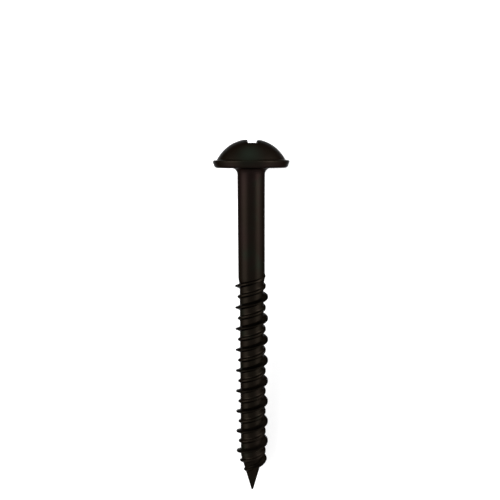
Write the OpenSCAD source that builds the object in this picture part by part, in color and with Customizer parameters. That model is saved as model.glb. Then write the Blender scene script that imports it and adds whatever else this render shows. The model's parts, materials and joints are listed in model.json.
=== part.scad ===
/* [Head] */
// Diameter of the thin washer flange
flange_d = 9; // [8.6:0.1:11]
// Thickness of the flange
flange_t = 0.9; // [0.75:0.05:1.3]
// Radius of the rim's upper edge
rim_top_r = 0.2; // [0.1:0.02:0.24]
// Radius of the rim's lower edge
rim_low_r = 0.4; // [0.2:0.02:0.44]
// How much narrower the rim is at its lower edge than at its upper edge
rim_draft = 0.12; // [0:0.02:0.2]
// Height of the head from its seat to its crown
head_h = 3.35; // [2.9:0.05:4]
// Diameter of the dome where it rises from the flange
dome_d = 8.1; // [7:0.1:8.2]

/* [Recess] */
// Span of the cross recess across two opposite wings, at the dome's surface
recess_span = 4.1; // [3.8:0.1:5]
// Depth of the recess from the crown to the floor of its wings
recess_depth = 2.4; // [1.8:0.1:2.6]
// Width of a wing at the height of the crown
wing_w = 1.2; // [0.9:0.05:1.4]
// Lean of a wing's side faces, in degrees from the axis
wing_side_lean = 7; // [2:0.5:9]
// Lean of a wing's end face, in degrees from the axis
wing_end_lean = 26.5; // [15:0.5:30]
// Diameter of the round core of the recess at the height of the crown
recess_core_d = 2.3; // [1.8:0.1:2.6]
// Lean of the core's wall, in degrees from the axis
core_lean = 9; // [2:0.5:12]
// Depth of the conical pit in the middle of the floor
pit_depth = 0.3; // [0.1:0.05:0.4]
// Turn of the recess about the axis, in degrees
recess_turn = 2; // [0:1:90]
// How far the recess sits off the axis, to the right in the photo
recess_shift = 0.12; // [0:0.02:0.3]

/* [Shank] */
// Length of the screw from the seat of the head to the point
length = 41.3; // [36:0.1:60]
// Diameter of the smooth shank
shank_d = 3.25; // [3.1:0.05:3.4]
// Length of the smooth shank below the seat
shank_len = 13.2; // [8:0.1:16]
// Radius of the fillet between the head and the shank
fillet_r = 0.75; // [0.3:0.05:1]
// Length over which the shank narrows to the core of the thread
neck_len = 0.75; // [0.5:0.05:1.5]

/* [Thread] */
// Diameter of the core between the ridges
core_d = 2.94; // [2.5:0.02:3]
// Diameter over the high ridge
high_d = 4.05; // [3.8:0.05:4.6]
// Diameter over the low ridge
low_d = 3.5; // [3.3:0.02:3.7]
// Advance of each ridge in one turn
lead = 2.71; // [2.3:0.01:3.2]
// Width of the high ridge where it leaves the core
high_base = 0.6; // [0.3:0.02:0.8]
// Width of the low ridge where it leaves the core
low_base = 0.56; // [0.3:0.02:0.8]
// Width of the narrow flat along each crest
crest_flat = 0.2; // [0.04:0.01:0.3]
// Length below the smooth shank after which the ridges have their full height
run_in = 0.7; // [0.3:0.05:2]
// Gain in crest radius for each millimetre of the run-in
run_in_slope = 0.3; // [0.2:0.02:0.6]
// Turn of the ridges about the axis, in degrees
thread_turn = 103; // [0:1:360]

/* [Point] */
// Length of the conical point
point_len = 4.9; // [4:0.1:7]
// Diameter of the small blunt end of the point
tip_d = 0.24; // [0.1:0.02:0.4]
// Height above the tip at which the ridges start to run out
run_out = 4.45; // [3.5:0.05:6]
// Loss of crest radius for each millimetre of the run-out
run_out_slope = 0.58; // [0.4:0.02:0.8]

/* [Rest] */
// Turn of the whole screw about its own axis as it lies, in degrees
rest_roll = 13; // [-180:1:180]

/* [Hidden] */
$fn = 96;
// Steps in one turn of the ridges, a multiple of four
turn_steps = 40;
// Steps in a small rounded edge
edge_steps = 6;
// Overlap that lets a cut or a joined piece pass through a surface
overlap = 0.15;
// Height above the apex of the point's cone that the spiral of points keeps clear
tip_clear = 0.3;

flange_r = flange_d / 2;
shank_r = shank_d / 2;
core_r = core_d / 2;
tip_r = tip_d / 2;

// Centres of the rim's two rounded edges, as radius and height
rim_top = [flange_r - rim_top_r, flange_t - rim_top_r];
rim_low = [flange_r - rim_draft - rim_low_r, rim_low_r];
// Direction in which the slanted face between the two edges looks
rim_step = rim_top - rim_low;
rim_angle = atan2(rim_step.y, rim_step.x) - acos((rim_low_r - rim_top_r) / norm(rim_step));

// The dome is a cap of a sphere
cap_h = head_h - flange_t;
dome_r = (pow(dome_d / 2, 2) + pow(cap_h, 2)) / (2 * cap_h);
dome_z = head_h - dome_r;

// The neck keeps its slope until it is inside the core
neck_end_r = core_r - overlap;
neck_end_z = -shank_len - neck_len * (shank_r - neck_end_r) / (shank_r - core_r);

// The point's cone would reach its apex below the blunt end, where it is cut off
point_slope = (core_r - tip_r) / point_len;
apex_z = -length - tip_r / point_slope;

// Heights of the recess
recess_floor = head_h - recess_depth;
recess_mouth = dome_z + sqrt(pow(dome_r, 2) - pow(recess_span / 2, 2));
recess_top = head_h + overlap;

// One lead of the ridges from the top down: distance below the high crest, then
// the radius of the crest, which is 0 where the surface is the core
lead_rows = [
    [-lead / 2 - low_base / 2, 0],
    [-lead / 2 - crest_flat / 2, low_d / 2],
    [-lead / 2 + crest_flat / 2, low_d / 2],
    [-lead / 2 + low_base / 2, 0],
    [-high_base / 2, 0],
    [-crest_flat / 2, high_d / 2],
    [crest_flat / 2, high_d / 2],
    [high_base / 2, 0]
];
row_count = len(lead_rows);
last_row = row_count - 1;

// Height of the lowest high crest at step 0, and the steps from there into the shank
turn_shift = thread_turn / 360;
first_turn = ceil((tip_clear + high_base / 2 + apex_z) / lead - turn_shift);
first_z = (first_turn + turn_shift) * lead;
ridge_top = -shank_len - run_in + (high_d / 2 - core_r) / run_in_slope;
turn_count = 1 + ceil((ridge_top - first_z) / lead - 0.5);
step_count = turn_count * turn_steps;

function arc(centre, radius, from, to) =
    [for (i = [0 : edge_steps])
        let (angle = from + (to - from) * i / edge_steps)
        centre + radius * [cos(angle), sin(angle)]];

function core_radius(z) = min(core_r, (z - apex_z) * point_slope);

function crest_radius(full_r, z) =
    full_r
    - run_in_slope * max(0, z + shank_len + run_in)
    - run_out_slope * max(0, run_out - length - z);

function thread_radius(full_r, z) = max(core_radius(z), crest_radius(full_r, z));

function thread_point(step, row) =
    let (
        angle = 360 * step / turn_steps,
        z = first_z + lead * step / turn_steps - lead_rows[row][0],
        r = thread_radius(lead_rows[row][1], z)
    )
    [r * cos(angle), r * sin(angle), z];

// Place of a point in the list of thread points
function at(step, row) = step * row_count + row;

// Two triangles between four corners, given clockwise from outside
function two_faces(a, b, c, d) = [[a, b, c], [a, c, d]];

// Tilt at which the screw rests on its rim and on one crest, which is given as its
// radius and height where it is straight below the axis
function tilt_on(crest) =
    let (across = rim_top.x - crest.x, along = rim_top.y - crest.y)
    atan2(across, along) + asin(rim_top_r / norm([across, along]));

down_shift = (90 - rest_roll) / 360;
low_points = [
    for (turn = [0 : turn_count - 1])
        let (z = first_z + lead * (turn + down_shift) - crest_flat / 2)
        [thread_radius(high_d / 2, z), z]
];
rest_tilt = min([for (crest = concat(low_points, [[tip_r, -length]])) tilt_on(crest)]);

// Half section of the flange, fillet, smooth shank and neck
module shank_section() {
    polygon(concat(
        [[0, flange_t]],
        arc(rim_top, rim_top_r, 90, rim_angle),
        arc(rim_low, rim_low_r, rim_angle, -90),
        arc([shank_r + fillet_r, -fillet_r], fillet_r, 90, 180),
        [[shank_r, -shank_len], [neck_end_r, neck_end_z], [0, neck_end_z]]
    ));
}

// Half section of the dome, which goes down into the flange
module dome_section() {
    intersection() {
        translate([0, dome_z]) circle(r = dome_r);
        square([dome_d / 2, head_h + overlap]);
    }
}

// One pair of opposite wings: a block with four leaning sides
module wing_pair() {
    half_span_top = recess_span / 2 + (recess_top - recess_mouth) * tan(wing_end_lean);
    half_span_low = recess_span / 2 - (recess_mouth - recess_floor) * tan(wing_end_lean);
    half_w_top = wing_w / 2 + overlap * tan(wing_side_lean);
    half_w_low = wing_w / 2 - recess_depth * tan(wing_side_lean);
    corners = [[-1, -1], [1, -1], [1, 1], [-1, 1]];
    polyhedron(
        points = concat(
            [for (c = corners) [c.x * half_span_low, c.y * half_w_low, recess_floor]],
            [for (c = corners) [c.x * half_span_top, c.y * half_w_top, recess_top]]
        ),
        faces = concat(
            [[0, 1, 2, 3], [7, 6, 5, 4]],
            [for (i = [0 : 3]) [i, i + 4, (i + 1) % 4 + 4, (i + 1) % 4]]
        )
    );
}

// The cross recess: two pairs of wings, a round core and a conical pit
module recess() {
    floor_r = recess_core_d / 2 - recess_depth * tan(core_lean);
    top_r = recess_core_d / 2 + overlap * tan(core_lean);
    translate([recess_shift, 0, 0]) rotate([0, 0, recess_turn]) {
        wing_pair();
        rotate([0, 0, 90]) wing_pair();
        translate([0, 0, recess_floor]) cylinder(h = recess_depth + overlap, r1 = floor_r, r2 = top_r);
        translate([0, 0, recess_floor - pit_depth]) cylinder(h = pit_depth, r1 = 0, r2 = floor_r);
    }
}

// Core, high ridge, low ridge and point, closed inside the shank at the top and
// cut off at the blunt end of the point
module thread() {
    difference() {
        thread_spiral();
        translate([0, 0, apex_z - overlap]) cylinder(h = -length - apex_z + overlap, r = core_r);
    }
}

// The same with the whole cone down to its apex
module thread_spiral() {
    apex = (step_count + 1) * row_count;
    cap = apex + 1;
    top_turn = step_count - turn_steps;
    cap_z = first_z + lead * (turn_count - 0.5);
    before_seam = at(turn_steps - 1, last_row);
    polyhedron(
        points = concat(
            [for (step = [0 : step_count], row = [0 : last_row]) thread_point(step, row)],
            [[0, 0, apex_z], [0, 0, cap_z]]
        ),
        faces = concat(
            [for (step = [0 : step_count - 1], row = [0 : last_row - 1])
                each two_faces(at(step, row), at(step + 1, row), at(step + 1, row + 1), at(step, row + 1))],
            [for (step = [turn_steps : step_count - 1])
                each two_faces(
                    at(step, last_row), at(step + 1, last_row),
                    at(step + 1 - turn_steps, 0), at(step - turn_steps, 0)
                )],
            [for (step = [0 : turn_steps - 2]) [at(step, last_row), at(step + 1, last_row), apex]],
            [[before_seam, at(turn_steps, last_row), at(0, 0)], [before_seam, at(0, last_row), apex]],
            [for (row = [0 : last_row - 1]) [before_seam, at(0, row), at(0, row + 1)]],
            [for (step = [top_turn : step_count - 1]) [cap, at(step + 1, 0), at(step, 0)]],
            [for (row = [0 : last_row - 1]) [at(step_count, row), cap, at(step_count, row + 1)]],
            [[at(step_count, last_row), cap, at(top_turn, 0)]]
        )
    );
}

// The screw lies on its rim and its thread, head towards +Y, seat centre at the origin
module screw() {
    color([0.09, 0.085, 0.08])
        rotate([rest_tilt - 90, 0, 0])
            rotate([0, 0, rest_roll])
            union() {
                difference() {
                    rotate_extrude() union() {
                        shank_section();
                        dome_section();
                    }
                    recess();
                }
                thread();
            }
}

screw();
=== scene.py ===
import bpy
import bmesh
import json
import math
import numpy as np
from mathutils import Matrix, Vector


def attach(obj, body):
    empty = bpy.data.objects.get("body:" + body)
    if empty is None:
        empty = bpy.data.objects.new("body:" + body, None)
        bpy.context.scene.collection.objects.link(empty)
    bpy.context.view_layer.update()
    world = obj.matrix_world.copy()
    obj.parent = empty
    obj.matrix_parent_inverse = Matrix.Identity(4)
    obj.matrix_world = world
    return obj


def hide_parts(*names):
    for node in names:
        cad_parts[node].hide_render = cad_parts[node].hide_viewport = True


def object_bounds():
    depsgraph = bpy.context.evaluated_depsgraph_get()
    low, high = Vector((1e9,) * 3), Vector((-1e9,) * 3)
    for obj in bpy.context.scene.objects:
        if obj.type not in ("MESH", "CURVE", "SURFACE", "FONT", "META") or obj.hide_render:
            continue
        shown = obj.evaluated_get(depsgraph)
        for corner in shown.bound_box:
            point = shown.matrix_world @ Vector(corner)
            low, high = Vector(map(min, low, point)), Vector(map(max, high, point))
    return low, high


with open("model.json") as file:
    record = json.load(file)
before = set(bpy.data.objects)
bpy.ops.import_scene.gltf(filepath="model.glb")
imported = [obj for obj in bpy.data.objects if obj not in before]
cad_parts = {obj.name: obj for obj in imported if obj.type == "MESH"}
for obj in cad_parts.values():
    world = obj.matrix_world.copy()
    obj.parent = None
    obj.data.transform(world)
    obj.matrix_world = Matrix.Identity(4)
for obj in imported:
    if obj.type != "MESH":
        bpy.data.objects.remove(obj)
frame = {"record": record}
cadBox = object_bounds()
mm = 0.001
bpy.context.scene.view_settings.view_transform = "Standard"

# The screw's own axes: z runs along it towards the head from the centre of the seat, and the
# camera stands at -y. The seat's mount says how these axes lie in the frame.
restRoll = 13.0  # turn about the screw's own axis as it lies, in degrees
seat = next(mount for mount in frame["record"]["mounts"] if mount["name"] == "head_seat")
towardsPoint = Vector(seat["axis"]).normalized()
restTilt = math.atan2(-towardsPoint.z, -towardsPoint.y)
screwToFrame = (
    Matrix.Translation(seat["pos_m"])
    @ Matrix.Rotation(restTilt - math.pi / 2, 4, "X")
    @ Matrix.Rotation(math.radians(restRoll), 4, "Z")
)
floorHeight = cadBox[0][2]


# Camera

cameraSetup = {
    "distance": 81.53 * mm,  # from the screw's axis
    "height": 0.94 * mm,  # above the seat, along the screw
    "lookDown": 13.1,  # degrees from square across the screw, towards the point
    "roll": -0.22,
    "lens": 48.61,
    "sensor": 36.0,
    "shiftX": -0.0034,
    "shiftY": 0.1337,
    "clipStart": 1.0 * mm,
    "clipEnd": 20.0,
}


def placeCamera(setup):
    look = math.radians(setup["lookDown"])
    right = Vector((1, 0, 0))
    up = Vector((0, math.sin(look), math.cos(look)))
    axes = Matrix((right, up, right.cross(up))).transposed().to_4x4()
    stand = Matrix.Translation((0, -setup["distance"], setup["height"]))
    roll = Matrix.Rotation(math.radians(setup["roll"]), 4, "Z")
    data = bpy.data.cameras.new("photoCamera")
    data.lens = setup["lens"]
    data.sensor_width = setup["sensor"]
    data.shift_x = setup["shiftX"]
    data.shift_y = setup["shiftY"]
    data.clip_start = setup["clipStart"]
    data.clip_end = setup["clipEnd"]
    camera = bpy.data.objects.new("photoCamera", data)
    camera.matrix_world = screwToFrame @ stand @ axes @ roll
    bpy.context.scene.collection.objects.link(camera)
    bpy.context.scene.camera = camera


placeCamera(cameraSetup)
print("camera placed")


# Node helpers

def fill(socket, value):
    if isinstance(value, bpy.types.NodeSocket):
        socket.id_data.links.new(value, socket)
    else:
        socket.default_value = value


def math2(tree, operation, *values):
    node = tree.nodes.new("ShaderNodeMath")
    node.operation = operation
    for socket, value in zip(node.inputs, values):
        fill(socket, value)
    return node.outputs[0]


def makeNode(tree, kind, **values):
    node = tree.nodes.new(kind)
    for name, value in values.items():
        if name in node.inputs:
            fill(node.inputs[name], value)
        else:
            setattr(node, name, value)
    return node


# Material of the screw

steelFinish = {
    "oxide": (0.0066, 0.0053, 0.0037),
    "warmOxide": (0.0087, 0.0055, 0.0048),
    "oilyOxide": (0.0062, 0.0068, 0.0048),
    # painted shade: a darker colour for the thread crests
    "crestShadeColour": (0.0026, 0.0021, 0.0016),
    "paintedHighlight": (0.0088, 0.0112, 0.0080),  # painted greenish highlight on the camera side of the dome
    "paintedHighlightCentre": (-0.2 * mm, -3.6 * mm, 1.5 * mm),
    "paintedHighlightSize": 2.1 * mm,
    "edgeTint": 0.46,  # how much the steel brightens where it is seen at a slant
    "patchSize": 5.0 * mm,
    "patchLevels": (0.35, 0.65),  # of the noise, where the warm oxide begins and is full
    "patchShares": (0.3, 1.0),
    "oilPatchSize": 3.0 * mm,
    "oilLevels": (0.54, 0.74),
    "warmShares": (0.25, 1.0),  # off the shank and on it
    "shankFoot": (-16.0 * mm, -10.0 * mm),  # along the screw, from off the shank to on it
    "shankTop": (1.0 * mm, 0.0),
    "threadTop": (-13.0 * mm, -13.5 * mm),
    "crestEdge": (1.72 * mm, 2.0 * mm),  # from the axis, where the painted crest shade begins and is full
    "crestShade": 0.7,
    "crestShadeLevels": (0.35, 0.55),
    "crestShadeShares": (0.6, 1.0),
    "roughLevels": (0.3, 0.7),
    "roughness": (0.31, 0.47),
    "grainSize": 0.12 * mm,
    "grainHeight": 0.002 * mm,
    "grainStrength": 0.7,
    "lineSize": 0.168 * mm,  # of the fine lines drawn along the screw
    "lineShrink": 0.03,  # of the noise along the screw, which draws it out into lines
    "lineHeight": 0.003 * mm,
    "lineStrength": 0.5,
}


def makeSteel(finish):
    material = bpy.data.materials.new("blackenedSteel")
    material.use_nodes = True
    tree = material.node_tree
    tree.nodes.clear()
    output = tree.nodes.new("ShaderNodeOutputMaterial")
    shader = tree.nodes.new("ShaderNodeBsdfPrincipled")
    tree.links.new(shader.outputs["BSDF"], output.inputs["Surface"])
    shader.inputs["Metallic"].default_value = 1.0
    tint = finish["edgeTint"]
    shader.inputs["Specular Tint"].default_value = (tint, tint, tint, 1.0)

    def linked(kind, source, socket, **values):
        node = makeNode(tree, kind, **values)
        tree.links.new(source, node.inputs[socket])
        return node

    def noise(size, detail, vector, roughness=0.55):
        node = linked("ShaderNodeTexNoise", vector, "Vector", Scale=1 / size, Detail=detail)
        node.inputs["Roughness"].default_value = roughness
        return node.outputs["Fac"]

    def ramp(value, levels, shares=(0.0, 1.0)):
        node = linked("ShaderNodeMapRange", value, "Value", interpolation_type="SMOOTHSTEP")
        for name, level in zip(("From Min", "From Max", "To Min", "To Max"), (*levels, *shares)):
            node.inputs[name].default_value = level
        return node.outputs["Result"]

    def mixColour(share, first, second):
        node = linked("ShaderNodeMix", share, 0, data_type="RGBA")
        for socket, value in ((node.inputs[6], first), (node.inputs[7], second)):
            fill(socket, value if isinstance(value, bpy.types.NodeSocket) else (*value, 1.0))
        return node.outputs[2]

    # Object coordinates, turned so that z runs along the screw
    coordinates = tree.nodes.new("ShaderNodeTexCoord").outputs["Object"]
    alongScrew = linked("ShaderNodeMapping", coordinates, "Vector", vector_type="POINT")
    alongScrew.inputs["Rotation"].default_value = (math.pi / 2 - restTilt, 0, -math.radians(restRoll))
    alongScrew = alongScrew.outputs["Vector"]
    parts = linked("ShaderNodeSeparateXYZ", alongScrew, 0).outputs
    squares = [math2(tree, "MULTIPLY", parts[axis], parts[axis]) for axis in ("X", "Y")]
    fromAxis = math2(tree, "SQRT", math2(tree, "ADD", *squares))

    # Oxide: brown black, warmer on the shank, greener where oil stayed, with a painted greenish highlight
    # on the camera side of the dome
    patches = noise(finish["patchSize"], 3.0, alongScrew)
    oilPatches = noise(finish["oilPatchSize"], 4.0, coordinates)
    aboveFoot = ramp(parts["Z"], finish["shankFoot"])
    onShank = math2(tree, "MULTIPLY", aboveFoot, ramp(parts["Z"], finish["shankTop"]))
    warm = ramp(patches, finish["patchLevels"], finish["patchShares"])
    warm = math2(tree, "MULTIPLY", warm, ramp(onShank, (0.0, 1.0), finish["warmShares"]))
    colour = mixColour(warm, finish["oxide"], finish["warmOxide"])
    colour = mixColour(ramp(oilPatches, finish["oilLevels"]), colour, finish["oilyOxide"])
    # Painted highlight: a brighter greenish round patch in the colour, on the camera side of the dome
    fromPaintedHighlight = makeNode(tree, "ShaderNodeVectorMath", operation="DISTANCE")
    tree.links.new(alongScrew, fromPaintedHighlight.inputs[0])
    fromPaintedHighlight.inputs[1].default_value = finish["paintedHighlightCentre"]
    paintedHighlight = ramp(fromPaintedHighlight.outputs["Value"], (finish["paintedHighlightSize"], 0.0))
    colour = mixColour(paintedHighlight, colour, finish["paintedHighlight"])

    # Crests of the thread, darkened in patches as painted shade for their dark lines and tips
    grain = noise(finish["grainSize"], 5.0, coordinates, 0.65)
    crestShade = math2(tree, "MULTIPLY", ramp(fromAxis, finish["crestEdge"]), finish["crestShade"])
    crestShade = math2(tree, "MULTIPLY", crestShade, ramp(parts["Z"], finish["threadTop"]))
    uneven = ramp(grain, finish["crestShadeLevels"], finish["crestShadeShares"])
    crestShade = math2(tree, "MULTIPLY", crestShade, uneven)
    colour = mixColour(crestShade, colour, finish["crestShadeColour"])
    tree.links.new(colour, shader.inputs["Base Color"])

    rough = math2(tree, "MULTIPLY", math2(tree, "ADD", patches, grain), 0.5)
    rough = ramp(rough, finish["roughLevels"], finish["roughness"])
    tree.links.new(rough, shader.inputs["Roughness"])

    # Fine lines drawn along the screw, and grain
    stretched = linked("ShaderNodeMapping", alongScrew, "Vector", vector_type="POINT")
    stretched.inputs["Scale"].default_value = (1.0, 1.0, finish["lineShrink"])
    lines = noise(finish["lineSize"], 2.0, stretched.outputs["Vector"])
    lineBump = linked("ShaderNodeBump", lines, "Height", Distance=finish["lineHeight"])
    lineBump.inputs["Strength"].default_value = finish["lineStrength"]
    grainBump = linked("ShaderNodeBump", grain, "Height", Distance=finish["grainHeight"])
    grainBump.inputs["Strength"].default_value = finish["grainStrength"]
    tree.links.new(lineBump.outputs["Normal"], grainBump.inputs["Normal"])
    tree.links.new(grainBump.outputs["Normal"], shader.inputs["Normal"])
    return material


steel = makeSteel(steelFinish)
print("steel made")


# Threaded part: core, high ridge, low ridge and point, from one spiral strip

threadSizes = {
    "Length": 41.3 * mm,  # seat to tip
    "Point length": 4.9 * mm,
    "Tip radius": 0.12 * mm,
    "Core radius": 1.47 * mm,
    "High radius": 2.025 * mm,
    "Low radius": 1.75 * mm,
    "Lead": 2.71 * mm,
    "High base": 0.6 * mm,
    "Low base": 0.56 * mm,
    "Crest flat": 0.2 * mm,
    "Full height below": 13.9 * mm,
    "Run-in slope": 0.3,
    "Run-out": 4.45 * mm,
    "Run-out slope": 0.58,
    "Thread turn": 103 / 360,
    "Hidden top": 11.0 * mm,
    "Crest rounding": 0.12,
    "Root rounding": 0.25,
    "Steps per turn": 96,
    "Rows per lead": 40,
}
wholeNumbers = ("Steps per turn", "Rows per lead")
rowCrowding = 0.75  # how much closer the rows lie on the ridges than between them
lowPlace = 0.25  # of the low ridge across the strip, as a share of the lead
highPlace = 0.75
spareBelow = 1.3  # turns of the strip that run on below the tip
spareAbove = 2.0  # and above the hidden top
weldDistance = 1e-7


def threadTree(sizes, material):
    tree = bpy.data.node_groups.new("threadAndPoint", "GeometryNodeTree")
    for name in sizes:
        kind = "NodeSocketInt" if name in wholeNumbers else "NodeSocketFloat"
        tree.interface.new_socket(name, in_out="INPUT", socket_type=kind)
    tree.interface.new_socket("Mesh", in_out="OUTPUT", socket_type="NodeSocketGeometry")
    inputs = tree.nodes.new("NodeGroupInput").outputs
    output = tree.nodes.new("NodeGroupOutput")

    def calc(operation, *values):
        return math2(tree, operation, *values)

    def half(value):
        return calc("MULTIPLY", value, 0.5)

    tipHeight = calc("MULTIPLY", inputs["Length"], -1.0)
    topHeight = calc("MULTIPLY", inputs["Hidden top"], -1.0)
    lead = inputs["Lead"]

    # The strip starts at a whole turn below the tip and ends above its hidden top
    firstTurn = calc("SUBTRACT", calc("DIVIDE", tipHeight, lead), inputs["Thread turn"])
    firstTurn = calc("FLOOR", calc("SUBTRACT", firstTurn, spareBelow))
    firstHeight = calc("MULTIPLY", calc("ADD", firstTurn, inputs["Thread turn"]), lead)
    turns = calc("DIVIDE", calc("SUBTRACT", topHeight, firstHeight), lead)
    turns = calc("CEIL", calc("ADD", turns, spareAbove))
    stepCount = calc("MULTIPLY_ADD", turns, inputs["Steps per turn"], 1.0)
    rowCount = calc("ADD", inputs["Rows per lead"], 1.0)
    grid = makeNode(tree, "GeometryNodeMeshGrid", **{"Size X": 1.0, "Size Y": 1.0})
    tree.links.new(stepCount, grid.inputs["Vertices X"])
    tree.links.new(rowCount, grid.inputs["Vertices Y"])

    place = tree.nodes.new("ShaderNodeSeparateXYZ")
    tree.links.new(tree.nodes.new("GeometryNodeInputPosition").outputs[0], place.inputs[0])
    turnsDone = calc("MULTIPLY", calc("ADD", place.outputs["X"], 0.5), turns)
    angle = calc("MULTIPLY", turnsDone, 2 * math.pi)
    across = calc("ADD", place.outputs["Y"], 0.5)
    crowd = calc("SINE", calc("MULTIPLY", across, 4 * math.pi))
    across = calc("MULTIPLY_ADD", crowd, rowCrowding / (4 * math.pi), across)

    belowHigh = calc("MULTIPLY", calc("SUBTRACT", across, highPlace), lead)
    belowLow = calc("MULTIPLY", calc("SUBTRACT", across, lowPlace), lead)
    freeHeight = calc("SUBTRACT", calc("MULTIPLY_ADD", turnsDone, lead, firstHeight), belowHigh)
    height = calc("MINIMUM", calc("MAXIMUM", freeHeight, tipHeight), topHeight)
    aboveTip = calc("SUBTRACT", height, tipHeight)

    coreShare = calc("MINIMUM", calc("DIVIDE", aboveTip, inputs["Point length"]), 1.0)
    coreGain = calc("SUBTRACT", inputs["Core radius"], inputs["Tip radius"])
    core = calc("MULTIPLY_ADD", coreGain, coreShare, inputs["Tip radius"])
    aboveFull = calc("MAXIMUM", calc("ADD", height, inputs["Full height below"]), 0.0)
    belowRunOut = calc("MAXIMUM", calc("SUBTRACT", inputs["Run-out"], aboveTip), 0.0)
    loss = calc("MULTIPLY", aboveFull, inputs["Run-in slope"])
    loss = calc("MULTIPLY_ADD", belowRunOut, inputs["Run-out slope"], loss)

    def ridge(crestRadius, baseWidth, distance):
        stands = calc("SUBTRACT", calc("SUBTRACT", crestRadius, loss), core)
        stands = calc("MAXIMUM", stands, 0.0)
        past = calc("SUBTRACT", calc("ABSOLUTE", distance), half(inputs["Crest flat"]))
        flank = half(calc("SUBTRACT", baseWidth, inputs["Crest flat"]))
        share = calc("SUBTRACT", 1.0, calc("DIVIDE", past, flank))
        share = calc("SMOOTH_MIN", share, 1.0, inputs["Crest rounding"])
        share = calc("SMOOTH_MAX", share, 0.0, inputs["Root rounding"])
        return calc("MULTIPLY", stands, share)

    highRidge = ridge(inputs["High radius"], inputs["High base"], belowHigh)
    lowRidge = ridge(inputs["Low radius"], inputs["Low base"], belowLow)
    radius = calc("ADD", core, calc("ADD", highRidge, lowRidge))
    belowTop = calc("LESS_THAN", freeHeight, calc("ADD", topHeight, half(lead)))
    aboveEnd = calc("GREATER_THAN", freeHeight, calc("SUBTRACT", tipHeight, half(lead)))
    radius = calc("MULTIPLY", radius, calc("MULTIPLY", belowTop, aboveEnd))

    point = tree.nodes.new("ShaderNodeCombineXYZ")
    tree.links.new(calc("MULTIPLY", radius, calc("COSINE", angle)), point.inputs["X"])
    tree.links.new(calc("MULTIPLY", radius, calc("SINE", angle)), point.inputs["Y"])
    tree.links.new(height, point.inputs["Z"])
    placed = makeNode(tree, "GeometryNodeSetPosition")
    tree.links.new(grid.outputs["Mesh"], placed.inputs["Geometry"])
    tree.links.new(point.outputs[0], placed.inputs["Position"])

    chain = placed.outputs["Geometry"]
    for kind, values in (
        ("GeometryNodeMergeByDistance", {"Distance": weldDistance}),
        ("GeometryNodeFlipFaces", {}),
        ("GeometryNodeSetShadeSmooth", {}),
        ("GeometryNodeRealizeInstances", {}),
        ("GeometryNodeSetMaterial", {"Material": material}),
    ):
        node = makeNode(tree, kind, **values)
        tree.links.new(chain, node.inputs[0])
        chain = node.outputs[0]
    tree.links.new(chain, output.inputs["Mesh"])
    return tree


def makeThread(sizes, material):
    tree = threadTree(sizes, material)
    mesh = bpy.data.meshes.new("threadStart")
    thread = bpy.data.objects.new("threadStart", mesh)
    bpy.context.scene.collection.objects.link(thread)
    modifier = thread.modifiers.new("thread", "NODES")
    modifier.node_group = tree
    for item in tree.interface.items_tree:
        if item.in_out == "INPUT":
            modifier[item.identifier] = sizes[item.name]
    result = evaluatedMesh(thread)
    thread.modifiers.clear()
    thread.data = result
    return thread


def evaluatedMesh(item):
    graph = bpy.context.evaluated_depsgraph_get()
    graph.update()
    return bpy.data.meshes.new_from_object(item.evaluated_get(graph))


thread = makeThread(threadSizes, steel)
print("thread made:", len(thread.data.polygons), "faces")


# Head, shank and neck: rings of points round the axis, from the middle of the recess outwards
# over the dome and down to the neck, which ends inside the core of the thread

headSizes = {
    "flangeRadius": 4.5 * mm,
    "flangeThickness": 0.9 * mm,
    "rimTopRadius": 0.2 * mm,
    "rimLowRadius": 0.4 * mm,
    "rimDraft": 0.12 * mm,
    "height": 3.35 * mm,
    "domeFoot": 4.05 * mm,
    "footFillet": 0.1 * mm,
    "crownSpread": 1.2,  # how much closer the dome's rows lie at its foot, as an angle in radians
    "columns": 288,
}
recessSizes = {
    "span": 4.1 * mm,
    "depth": 2.4 * mm,
    "wingWidth": 1.2 * mm,
    "sideLean": 7.0,
    "endLean": 26.5,
    "coreRadius": 1.15 * mm,
    "coreLean": 9.0,
    "pitDepth": 0.3 * mm,
    "turn": 2.0,
    "offCentre": 0.12 * mm,
    "cornerRound": 0.16 * mm,
    "innerRound": 0.22 * mm,
    "mouthRound": 0.09 * mm,
    "floorRound": 0.12 * mm,
    "pitShare": 0.9,  # of the floor's narrowest reach
    "pitRows": (0.25, 0.5, 0.75, 0.93, 1.0),
}
shankSizes = {
    "radius": 1.625 * mm,
    "length": 13.2 * mm,
    "fillet": 0.75 * mm,
    "neckLength": 0.75 * mm,
    "neckEase": 0.25 * mm,
    "sink": 0.15 * mm,  # how far the neck's end lies inside the core
}
rowCounts = {
    "recessFloor": 3,
    "floorRound": 5,
    "recessWall": 8,
    "mouthRound": 6,
    "dome": 26,
    "domeFoot": 5,
    "rimTop": 8,
    "rimLow": 10,
    "seat": 4,
    "fillet": 14,
    "shank": 12,
    "neckEase": 5,
}
halvings = 40  # of the height in the search for the recess's edge
nearZero = 1e-9
angles = np.arange(headSizes["columns"]) * 2 * math.pi / headSizes["columns"]


def smoothMin(a, b, width):
    near = np.maximum(width - np.abs(a - b), 0) / width
    return np.minimum(a, b) - near ** 3 * width / 6


def smoothMax(a, b, width):
    return -smoothMin(-a, -b, width)


def lean(degrees):
    return math.tan(math.radians(degrees))


def ring(radius, height, offCentre=0.0):
    return np.array([
        offCentre + radius * np.cos(angles), radius * np.sin(angles), height + 0 * angles,
    ])


def steps(count):
    return np.linspace(0, 1, count + 1)


def bend(start, corner, end, count):
    return [(1 - t) ** 2 * start + 2 * t * (1 - t) * corner + t ** 2 * end for t in steps(count)]


def between(start, end, count):
    return [(1 - t) * start + t * end for t in steps(count)[1:-1]]


def arc(centre, radius, start, end, count):
    turns = np.radians(start + (end - start) * steps(count))
    return [ring(centre[0] + radius * math.cos(t), centre[1] + radius * math.sin(t)) for t in turns]


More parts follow.
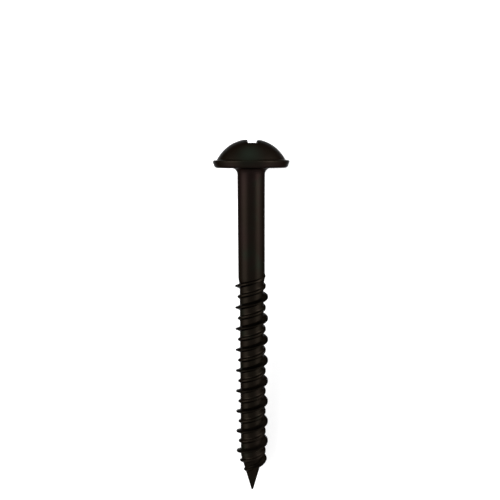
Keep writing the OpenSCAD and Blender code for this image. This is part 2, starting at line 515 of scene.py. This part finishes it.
def onDome(points, head):
    cap = head["height"] - head["flangeThickness"]
    radius = (head["domeFoot"] ** 2 + cap ** 2) / (2 * cap)
    rise = np.sqrt(radius ** 2 - points[0] ** 2 - points[1] ** 2)
    return np.array([points[0], points[1], head["height"] - radius + rise])


def recessRings(head, recess):
    floor = head["height"] - recess["depth"]
    mouth = onDome((recess["span"] / 2, 0), head)[2]
    along = np.abs(np.cos(angles - math.radians(recess["turn"]))) + nearZero
    across = np.abs(np.sin(angles - math.radians(recess["turn"]))) + nearZero

    def outline(height):
        below = head["height"] - height
        span = recess["span"] / 2 + (height - mouth) * lean(recess["endLean"])
        width = recess["wingWidth"] / 2 - below * lean(recess["sideLean"])
        core = recess["coreRadius"] - below * lean(recess["coreLean"])
        wing = smoothMin(span / along, width / across, recess["cornerRound"])
        otherWing = smoothMin(span / across, width / along, recess["cornerRound"])
        return smoothMax(np.maximum(wing, otherWing), core, recess["innerRound"])

    def wall(height, inwards=0.0):
        return ring(outline(height) - inwards, height, recess["offCentre"])

    # Height at which the wall meets the dome, halved down in each column
    low = np.full(len(angles), floor)
    high = np.full(len(angles), head["height"])
    for _ in range(halvings):
        middle = (low + high) / 2
        outside = middle > onDome(wall(middle), head)[2]
        high = np.where(outside, middle, high)
        low = np.where(outside, low, middle)
    mouthEdge = wall(low)
    mouthEnd = onDome(ring(outline(low) + recess["mouthRound"], 0, recess["offCentre"]), head)

    pitEdge = (np.min(outline(floor)) - recess["floorRound"]) * recess["pitShare"]
    pitFoot = floor - recess["pitDepth"]
    rings = [
        ring(pitEdge * t, pitFoot + recess["pitDepth"] * t, recess["offCentre"]) for t in recess["pitRows"]
    ]
    floorEdge = wall(floor, recess["floorRound"])
    rings += between(rings[-1], floorEdge, rowCounts["recessFloor"])
    wallFoot = floor + recess["floorRound"]
    rings += bend(floorEdge, wall(floor), wall(wallFoot), rowCounts["floorRound"])
    wallTop = low - recess["mouthRound"]
    rings += [wall(wallFoot * (1 - t) + wallTop * t) for t in steps(rowCounts["recessWall"])[1:-1]]
    rings += bend(wall(wallTop), mouthEdge, mouthEnd, rowCounts["mouthRound"])
    return rings, (recess["offCentre"], 0.0, pitFoot)


def domeRings(head, start):
    top = head["flangeThickness"]
    foot = head["domeFoot"]
    end = onDome(ring(foot - head["footFillet"] / 2, 0), head)
    spread = head["crownSpread"]
    rings = []
    for t in np.sin(steps(rowCounts["dome"])[1:-1] * spread) / math.sin(spread):
        rings.append(onDome((1 - t) * start + t * end, head))
    outer = ring(foot + head["footFillet"], top)
    return rings + bend(end, ring(foot, top), outer, rowCounts["domeFoot"])


def rimRings(head):
    topRadius = head["rimTopRadius"]
    lowRadius = head["rimLowRadius"]
    topCentre = np.array((head["flangeRadius"] - topRadius, head["flangeThickness"] - topRadius))
    lowCentre = np.array((head["flangeRadius"] - head["rimDraft"] - lowRadius, lowRadius))
    step = topCentre - lowCentre
    slant = math.atan2(step[1], step[0]) - math.acos((lowRadius - topRadius) / np.hypot(*step))
    slant = math.degrees(slant)
    rings = arc(topCentre, topRadius, 90, slant, rowCounts["rimTop"])
    return rings + arc(lowCentre, lowRadius, slant, -90, rowCounts["rimLow"])


def shankRings(shank, core, start):
    radius, fillet, foot = shank["radius"], shank["fillet"], -shank["length"]
    rings = between(start, ring(radius + fillet, 0), rowCounts["seat"])
    rings += arc((radius + fillet, -fillet), fillet, 90, 180, rowCounts["fillet"])
    slope = (radius - core) / shank["neckLength"]
    ease = shank["neckEase"]
    neckTop = ring(radius, foot + ease)
    rings += between(rings[-1], neckTop, rowCounts["shank"])
    easeEnd = ring(radius - ease * slope, foot - ease)
    rings += bend(neckTop, ring(radius, foot), easeEnd, rowCounts["neckEase"])
    neckEnd = core - shank["sink"]
    return rings + [ring(neckEnd, foot - (radius - neckEnd) / slope)]


def makeHead(head, recess, shank, core, material):
    rings, pit = recessRings(head, recess)
    rings += domeRings(head, rings[-1])
    rings += rimRings(head)
    rings += shankRings(shank, core, rings[-1])
    columns = len(angles)
    points = [pit]
    for circle in rings:
        points += [tuple(point) for point in circle.T]
    points.append((0.0, 0.0, float(rings[-1][2][0])))
    last = len(points) - 1

    def at(row, column):
        return 1 + row * columns + column % columns

    faces = [(0, at(0, c), at(0, c + 1)) for c in range(columns)]
    for row in range(len(rings) - 1):
        faces += [
            (at(row, c), at(row + 1, c), at(row + 1, c + 1), at(row, c + 1)) for c in range(columns)
        ]
    faces += [(at(len(rings) - 1, c + 1), at(len(rings) - 1, c), last) for c in range(columns)]
    mesh = bpy.data.meshes.new("washerHeadScrew")
    mesh.from_pydata(points, [], faces)
    mesh.materials.append(material)
    item = bpy.data.objects.new("washerHeadScrew", mesh)
    bpy.context.scene.collection.objects.link(item)
    return item


screw = makeHead(headSizes, recessSizes, shankSizes, threadSizes["Core radius"], steel)
print("head made:", len(screw.data.polygons), "faces")


# One closed surface: the thread is joined to the shank, and the whole is laid down

sharpAngle = 38.0  # an edge bent by more than this stays crisp


def joinThread(item, other):
    modifier = item.modifiers.new("join", "BOOLEAN")
    modifier.operation = "UNION"
    modifier.solver = "MANIFOLD"
    modifier.object = other
    joined = evaluatedMesh(item)
    item.modifiers.clear()
    item.data = joined
    bpy.data.objects.remove(other)


def tidySurface(mesh):
    work = bmesh.new()
    work.from_mesh(mesh)
    bmesh.ops.remove_doubles(work, verts=work.verts, dist=weldDistance)
    bmesh.ops.dissolve_degenerate(work, edges=work.edges, dist=weldDistance)
    for face in work.faces:
        face.smooth = True
        face.material_index = 0
    limit = math.radians(sharpAngle)
    for edge in work.edges:
        edge.smooth = edge.calc_face_angle(0.0) < limit
    openEdges = sum(1 for edge in work.edges if len(edge.link_faces) != 2)
    work.to_mesh(mesh)
    volume = work.calc_volume()
    work.free()
    return openEdges, volume


joinThread(screw, thread)
openEdges, volume = tidySurface(screw.data)
screw.data.transform(screwToFrame)
screw.data.materials.clear()
screw.data.materials.append(steel)
print("screw joined:", len(screw.data.polygons), "faces,", openEdges, "open edges,",
      round(volume / mm ** 3, 1), "mm3")


# Floor

floorLook = {
    "size": 6.0,  # in metres
    "colour": (0.62, 0.62, 0.62),
    "lift": 0.53,  # what the camera and mirror rays see on top of the floor's own light
}


def visibleRay(tree):
    path = tree.nodes.new("ShaderNodeLightPath").outputs
    seen = math2(tree, "MAXIMUM", path["Is Camera Ray"], path["Is Glossy Ray"])
    return math2(tree, "MAXIMUM", seen, path["Is Transmission Ray"])


def makeFloor(look, height):
    size = look["size"] / 2
    mesh = bpy.data.meshes.new("floor")
    corners = [(-size, -size, height), (size, -size, height), (size, size, height), (-size, size, height)]
    mesh.from_pydata(corners, [], [(0, 1, 2, 3)])
    floor = bpy.data.objects.new("floor", mesh)
    bpy.context.scene.collection.objects.link(floor)
    material = bpy.data.materials.new("paleFloor")
    material.use_nodes = True
    tree = material.node_tree
    tree.nodes.clear()
    output = tree.nodes.new("ShaderNodeOutputMaterial")
    matt = makeNode(tree, "ShaderNodeBsdfDiffuse", Color=(*look["colour"], 1.0))
    lift = makeNode(tree, "ShaderNodeEmission", Color=(1.0, 1.0, 1.0, 1.0))
    tree.links.new(math2(tree, "MULTIPLY", visibleRay(tree), look["lift"]), lift.inputs["Strength"])
    both = tree.nodes.new("ShaderNodeAddShader")
    tree.links.new(matt.outputs[0], both.inputs[0])
    tree.links.new(lift.outputs[0], both.inputs[1])
    tree.links.new(both.outputs[0], output.inputs["Surface"])
    mesh.materials.append(material)


makeFloor(floorLook, floorHeight)
print("floor made")


# Light: a pale world, two soft strips along each side of the screw and one beyond its head

worldStrength = 0.4  # for rays other than the camera's and those of mirrors and glass
lightRows = {
    # turn round the screw from the camera, distance, width, from and to along the screw, radiance
    "leftUpper": (-63.0, 260.0, 210.0, 5.0, 215.0, 7.2),
    "leftLower": (-63.0, 260.0, 210.0, -245.0, 5.0, 2.5),
    "rightUpper": (59.0, 260.0, 170.0, 5.0, 215.0, 9.6),
    "rightLower": (59.0, 260.0, 170.0, -245.0, 5.0, 2.3),
}
headLight = {
    "distance": 300.0,
    "height": 60.0,
    "size": 240.0,
    "radiance": 0.8,
}


def makeWorld(strength):
    world = bpy.data.worlds.new("paleWorld")
    world.use_nodes = True
    bpy.context.scene.world = world
    tree = world.node_tree
    tree.nodes.clear()
    output = tree.nodes.new("ShaderNodeOutputWorld")
    sky = makeNode(tree, "ShaderNodeBackground", Color=(1.0, 1.0, 1.0, 1.0))
    level = makeNode(tree, "ShaderNodeMapRange")
    level.inputs["To Min"].default_value = strength
    level.inputs["To Max"].default_value = 1.0
    tree.links.new(visibleRay(tree), level.inputs["Value"])
    tree.links.new(level.outputs["Result"], sky.inputs["Strength"])
    tree.links.new(sky.outputs[0], output.inputs["Surface"])


def makeLight(name, place, back, up, width, length, radiance):
    data = bpy.data.lights.new(name, "AREA")
    data.shape = "RECTANGLE"
    data.size = width * mm
    data.size_y = length * mm
    data.energy = radiance * math.pi * data.size * data.size_y
    axes = Matrix((up.cross(back), up, back)).transposed().to_4x4()
    light = bpy.data.objects.new(name, data)
    light.matrix_world = screwToFrame @ Matrix.Translation(place * mm) @ axes
    bpy.context.scene.collection.objects.link(light)


def makeStrip(name, row):
    turn, distance, width, start, end, radiance = row
    side = math.radians(turn)
    back = Vector((math.sin(side), -math.cos(side), 0))
    place = back * distance + Vector((0, 0, (start + end) / 2))
    makeLight(name, place, back, Vector((0, 0, 1)), width, end - start, radiance)


def makeHeadLight(setup):
    place = Vector((0, -setup["height"], setup["distance"]))
    back = place.normalized()
    up = back.cross(Vector((1, 0, 0)))
    makeLight("headLight", place, back, up, setup["size"], setup["size"], setup["radiance"])


makeWorld(worldStrength)
for stripName, stripRow in lightRows.items():
    makeStrip(stripName, stripRow)
makeHeadLight(headLight)
print("lights placed")


# Frame

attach(screw, "root")
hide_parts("screw")
